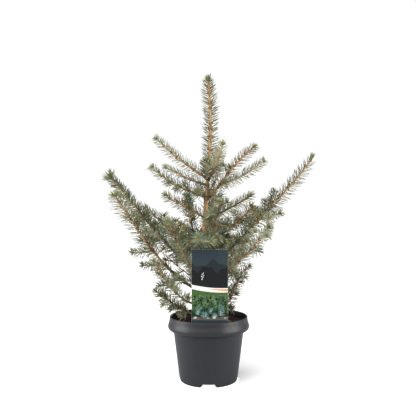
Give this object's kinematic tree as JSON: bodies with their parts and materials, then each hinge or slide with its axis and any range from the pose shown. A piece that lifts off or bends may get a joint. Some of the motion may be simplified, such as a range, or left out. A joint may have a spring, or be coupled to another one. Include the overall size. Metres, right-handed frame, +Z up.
{
  "type": "potted blue spruce",
  "caption": "Young blue spruce with a single leader and tiers of rising boughs, in a round ribless nursery pot of potting soil with a plant label.",
  "frame": {"origin": "on the pot's axis, at the ground under the flat middle foot of the pot", "axes": "+Z up along the pot's axis towards the leader, -Y to the front where the label stands, +X to the right"},
  "size_m": [0.5051, 0.3608, 0.7072],
  "materials": {
    "pot_plastic": "satin dark grey moulded plastic",
    "potting_soil": "crumbly dark brown peat with bark chips",
    "bark": "matt orange-brown young bark",
    "needle_foliage": "matt blue-grey-green needles",
    "label_card": "satin printed plastic card"
  },
  "bodies": {
    "root": {"pot": "pot_plastic", "soil": "potting_soil", "trunk": "bark", "label_card": "label_card", "leader_needles": "needle_foliage", "back_left_limb": "bark", "back_left_needles": "needle_foliage", "back_low_left_limb": "bark", "back_low_left_needles": "needle_foliage", "back_low_right_limb": "bark", "back_low_right_needles": "needle_foliage", "back_mid_limb": "bark", "back_mid_needles": "needle_foliage", "back_right_limb": "bark", "back_right_needles": "needle_foliage", "crown_back_limb": "bark", "crown_back_needles": "needle_foliage", "crown_front_limb": "bark", "crown_front_needles": "needle_foliage", "crown_left_back_limb": "bark", "crown_left_back_needles": "needle_foliage", "crown_left_limb": "bark", "crown_left_needles": "needle_foliage", "front_left_limb": "bark", "front_left_needles": "needle_foliage", "front_limb": "bark", "front_needles": "needle_foliage", "front_right_limb": "bark", "front_right_needles": "needle_foliage", "left_base_limb": "bark", "left_base_needles": "needle_foliage", "left_high_limb": "bark", "left_high_needles": "needle_foliage", "left_low_limb": "bark", "left_low_needles": "needle_foliage", "left_lower_limb": "bark", "left_lower_needles": "needle_foliage", "left_mid_limb": "bark", "left_mid_needles": "needle_foliage", "middle_back_limb": "bark", "middle_back_needles": "needle_foliage", "middle_left_limb": "bark", "middle_left_needles": "needle_foliage", "right_base_limb": "bark", "right_base_needles": "needle_foliage", "right_high_limb": "bark", "right_high_needles": "needle_foliage", "right_low_limb": "bark", "right_low_needles": "needle_foliage", "right_mid_limb": "bark", "right_mid_needles": "needle_foliage", "steep_back_limb": "bark", "steep_back_needles": "needle_foliage", "upper_back_limb": "bark", "upper_back_needles": "needle_foliage", "upper_left_limb": "bark", "upper_left_needles": "needle_foliage", "upper_right_limb": "bark", "upper_right_needles": "needle_foliage"}
  },
  "joints": []
}
